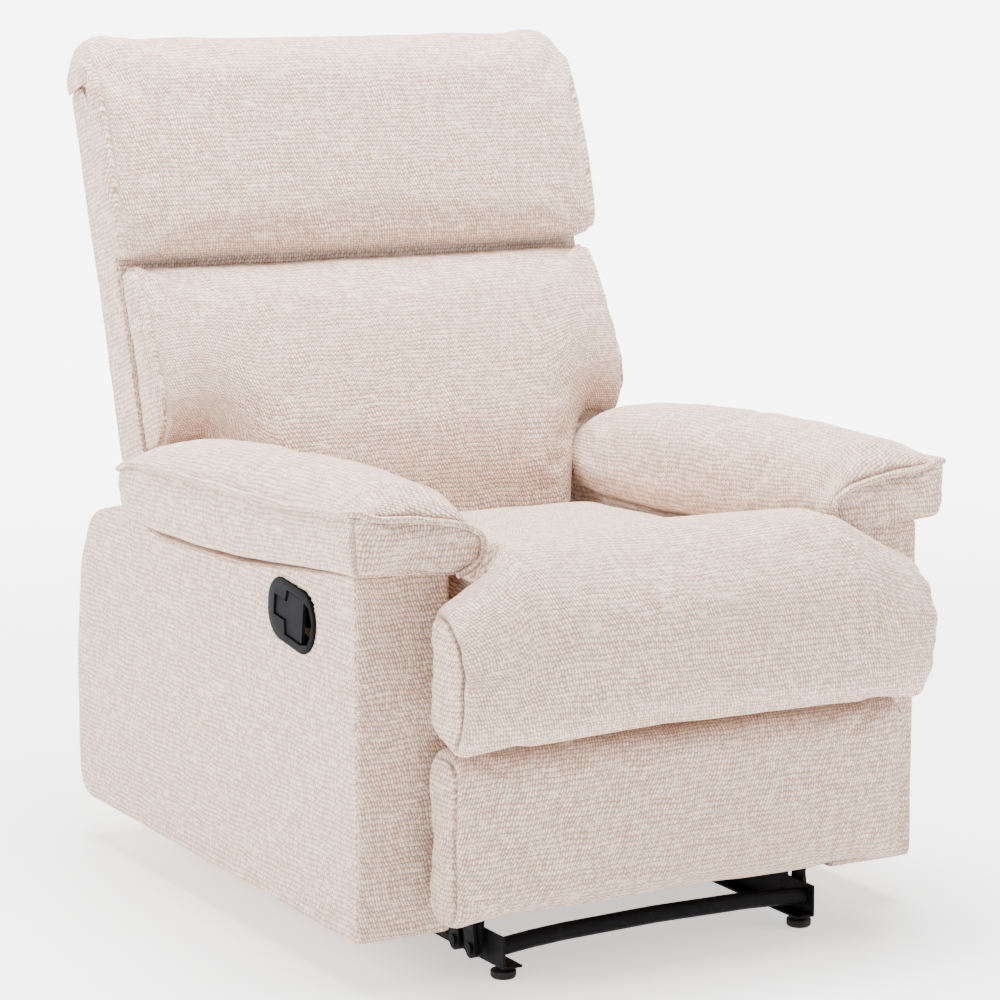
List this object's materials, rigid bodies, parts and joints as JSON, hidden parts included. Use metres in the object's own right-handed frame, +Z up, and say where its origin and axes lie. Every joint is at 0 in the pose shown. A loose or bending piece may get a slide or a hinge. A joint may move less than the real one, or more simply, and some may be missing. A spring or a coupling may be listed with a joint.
{
  "type": "recliner armchair",
  "caption": "Padded push-back recliner armchair with pillow-top arms, a fold-out footrest on scissor linkages, a reclining back and a recessed pull latch.",
  "frame": {"origin": "on the floor, under the middle of the footprint with the footrest closed and the back upright", "axes": "+Z up, the sitter faces -Y, and +X is the sitter's left"},
  "size_m": [0.802, 1.0053, 1.0436],
  "materials": {
    "upholstery_fabric": "matte",
    "frame_wood": "matte",
    "black_steel": "satin",
    "zinc_steel": "satin",
    "spring_steel": "satin",
    "latch_plastic": "satin",
    "foot_rubber": "matte"
  },
  "bodies": {
    "base": {"base_rail_left": "black_steel", "base_rail_right": "black_steel", "foot_front_left": "foot_rubber", "foot_front_right": "foot_rubber", "foot_rear_left": "foot_rubber", "foot_rear_right": "foot_rubber", "front_cross_tube": "black_steel", "rear_cross_tube": "black_steel", "front_side_plate_left": "black_steel", "front_side_plate_right": "black_steel", "rear_side_plate_left": "black_steel", "rear_side_plate_right": "black_steel", "seat_side_rail_left": "frame_wood", "seat_side_rail_right": "frame_wood", "arm_bracket_left": "zinc_steel", "arm_bracket_right": "zinc_steel", "seat_front_rail": "frame_wood", "seat_rear_rail": "frame_wood", "seat_spring_1": "spring_steel", "seat_spring_2": "spring_steel", "seat_spring_3": "spring_steel", "seat_spring_4": "spring_steel", "seat_cushion": "upholstery_fabric", "front_roll": "upholstery_fabric", "arm_board_left": "frame_wood", "arm_board_right": "frame_wood", "arm_cover_left": "upholstery_fabric", "arm_cover_right": "upholstery_fabric", "arm_pad_left": "upholstery_fabric", "arm_pad_right": "upholstery_fabric", "rear_base_panel": "upholstery_fabric", "latch_cup": "latch_plastic", "latch_pin": "zinc_steel", "release_cable": "latch_plastic"},
    "drive_links": {"drive_link_left": "black_steel", "drive_link_right": "black_steel", "drive_shaft": "zinc_steel"},
    "lift_links": {"lift_link_left": "black_steel", "lift_link_right": "black_steel"},
    "falling_cross_links": {"falling_cross_link_left": "black_steel", "falling_cross_link_right": "black_steel"},
    "rising_cross_links": {"rising_cross_link_left": "black_steel", "rising_cross_link_right": "black_steel"},
    "upper_end_links": {"upper_end_link_left": "black_steel", "upper_end_link_right": "black_steel"},
    "lower_end_links": {"lower_end_link_left": "black_steel", "lower_end_link_right": "black_steel"},
    "footrest": {"footrest_pad": "upholstery_fabric", "footrest_board": "frame_wood", "footrest_bracket_left": "black_steel", "footrest_bracket_right": "black_steel"},
    "backrest": {"back_cover": "upholstery_fabric", "back_board": "frame_wood", "back_lower_rail": "frame_wood", "lumbar_cushion": "upholstery_fabric", "headrest_cushion": "upholstery_fabric", "back_bracket_left": "black_steel", "back_bracket_right": "black_steel"},
    "latch_paddle": {"latch_paddle": "latch_plastic"},
    "release_catch": {"release_catch": "zinc_steel"}
  },
  "joints": [
    {"name": "footrest_drive", "type": "hinge", "parent": "base", "child": "drive_links", "pos_m": [0, -0.30561, 0.148], "axis": [-1, 0, 0], "range_deg": [0, 88]},
    {"name": "lift_link_pivot", "type": "hinge", "parent": "base", "child": "lift_links", "pos_m": [0, -0.30561, 0.148], "axis": [-1, 0, 0], "range_deg": [-40.01, 0]},
    {"name": "upper_rear_pivot", "type": "hinge", "parent": "lift_links", "child": "falling_cross_links", "pos_m": [0, -0.32438, 0.26652], "axis": [-1, 0, 0], "range_deg": [0, 128.01]},
    {"name": "lower_front_pivot", "type": "hinge", "parent": "falling_cross_links", "child": "lower_end_links", "pos_m": [0, -0.36193, 0.02948], "axis": [-1, 0, 0], "range_deg": [-128.01, 0]},
    {"name": "footrest_pivot", "type": "hinge", "parent": "lower_end_links", "child": "footrest", "pos_m": [0, -0.3807, 0.148], "axis": [-1, 0, 0], "range_deg": [0, 130.01]},
    {"name": "lower_rear_pivot", "type": "hinge", "parent": "drive_links", "child": "rising_cross_links", "pos_m": [0, -0.32438, 0.02948], "axis": [-1, 0, 0], "range_deg": [-128.01, 0]},
    {"name": "upper_front_pivot", "type": "hinge", "parent": "rising_cross_links", "child": "upper_end_links", "pos_m": [0, -0.36193, 0.26652], "axis": [-1, 0, 0], "range_deg": [0, 128.01]},
    {"name": "backrest_recline", "type": "hinge", "parent": "base", "child": "backrest", "pos_m": [0, 0.2823, 0.38], "axis": [-1, 0, 0], "range_deg": [0, 28]},
    {"name": "latch_pull", "type": "hinge", "parent": "base", "child": "latch_paddle", "pos_m": [-0.3765, -0.18824, 0.41222], "axis": [0, 0.1392, -0.9903], "range_deg": [0, 25], "stiffness_Nm_per_rad": 0.4, "springref_deg": -11.46},
    {"name": "catch_lift", "type": "hinge", "parent": "base", "child": "release_catch", "pos_m": [-0.221, -0.2237, 0.196], "axis": [-1, 0, 0], "range_deg": [0, 16.01]}
  ],
  "couplings": [
    {"joint": "lift_link_pivot", "follows": "footrest_drive", "ratio": -0.45455},
    {"joint": "upper_rear_pivot", "follows": "footrest_drive", "ratio": 1.4545},
    {"joint": "lower_front_pivot", "follows": "footrest_drive", "ratio": -1.4545},
    {"joint": "footrest_pivot", "follows": "footrest_drive", "ratio": 1.4773},
    {"joint": "lower_rear_pivot", "follows": "footrest_drive", "ratio": -1.4545},
    {"joint": "upper_front_pivot", "follows": "footrest_drive", "ratio": 1.4545},
    {"joint": "catch_lift", "follows": "latch_pull", "ratio": 0.64}
  ]
}
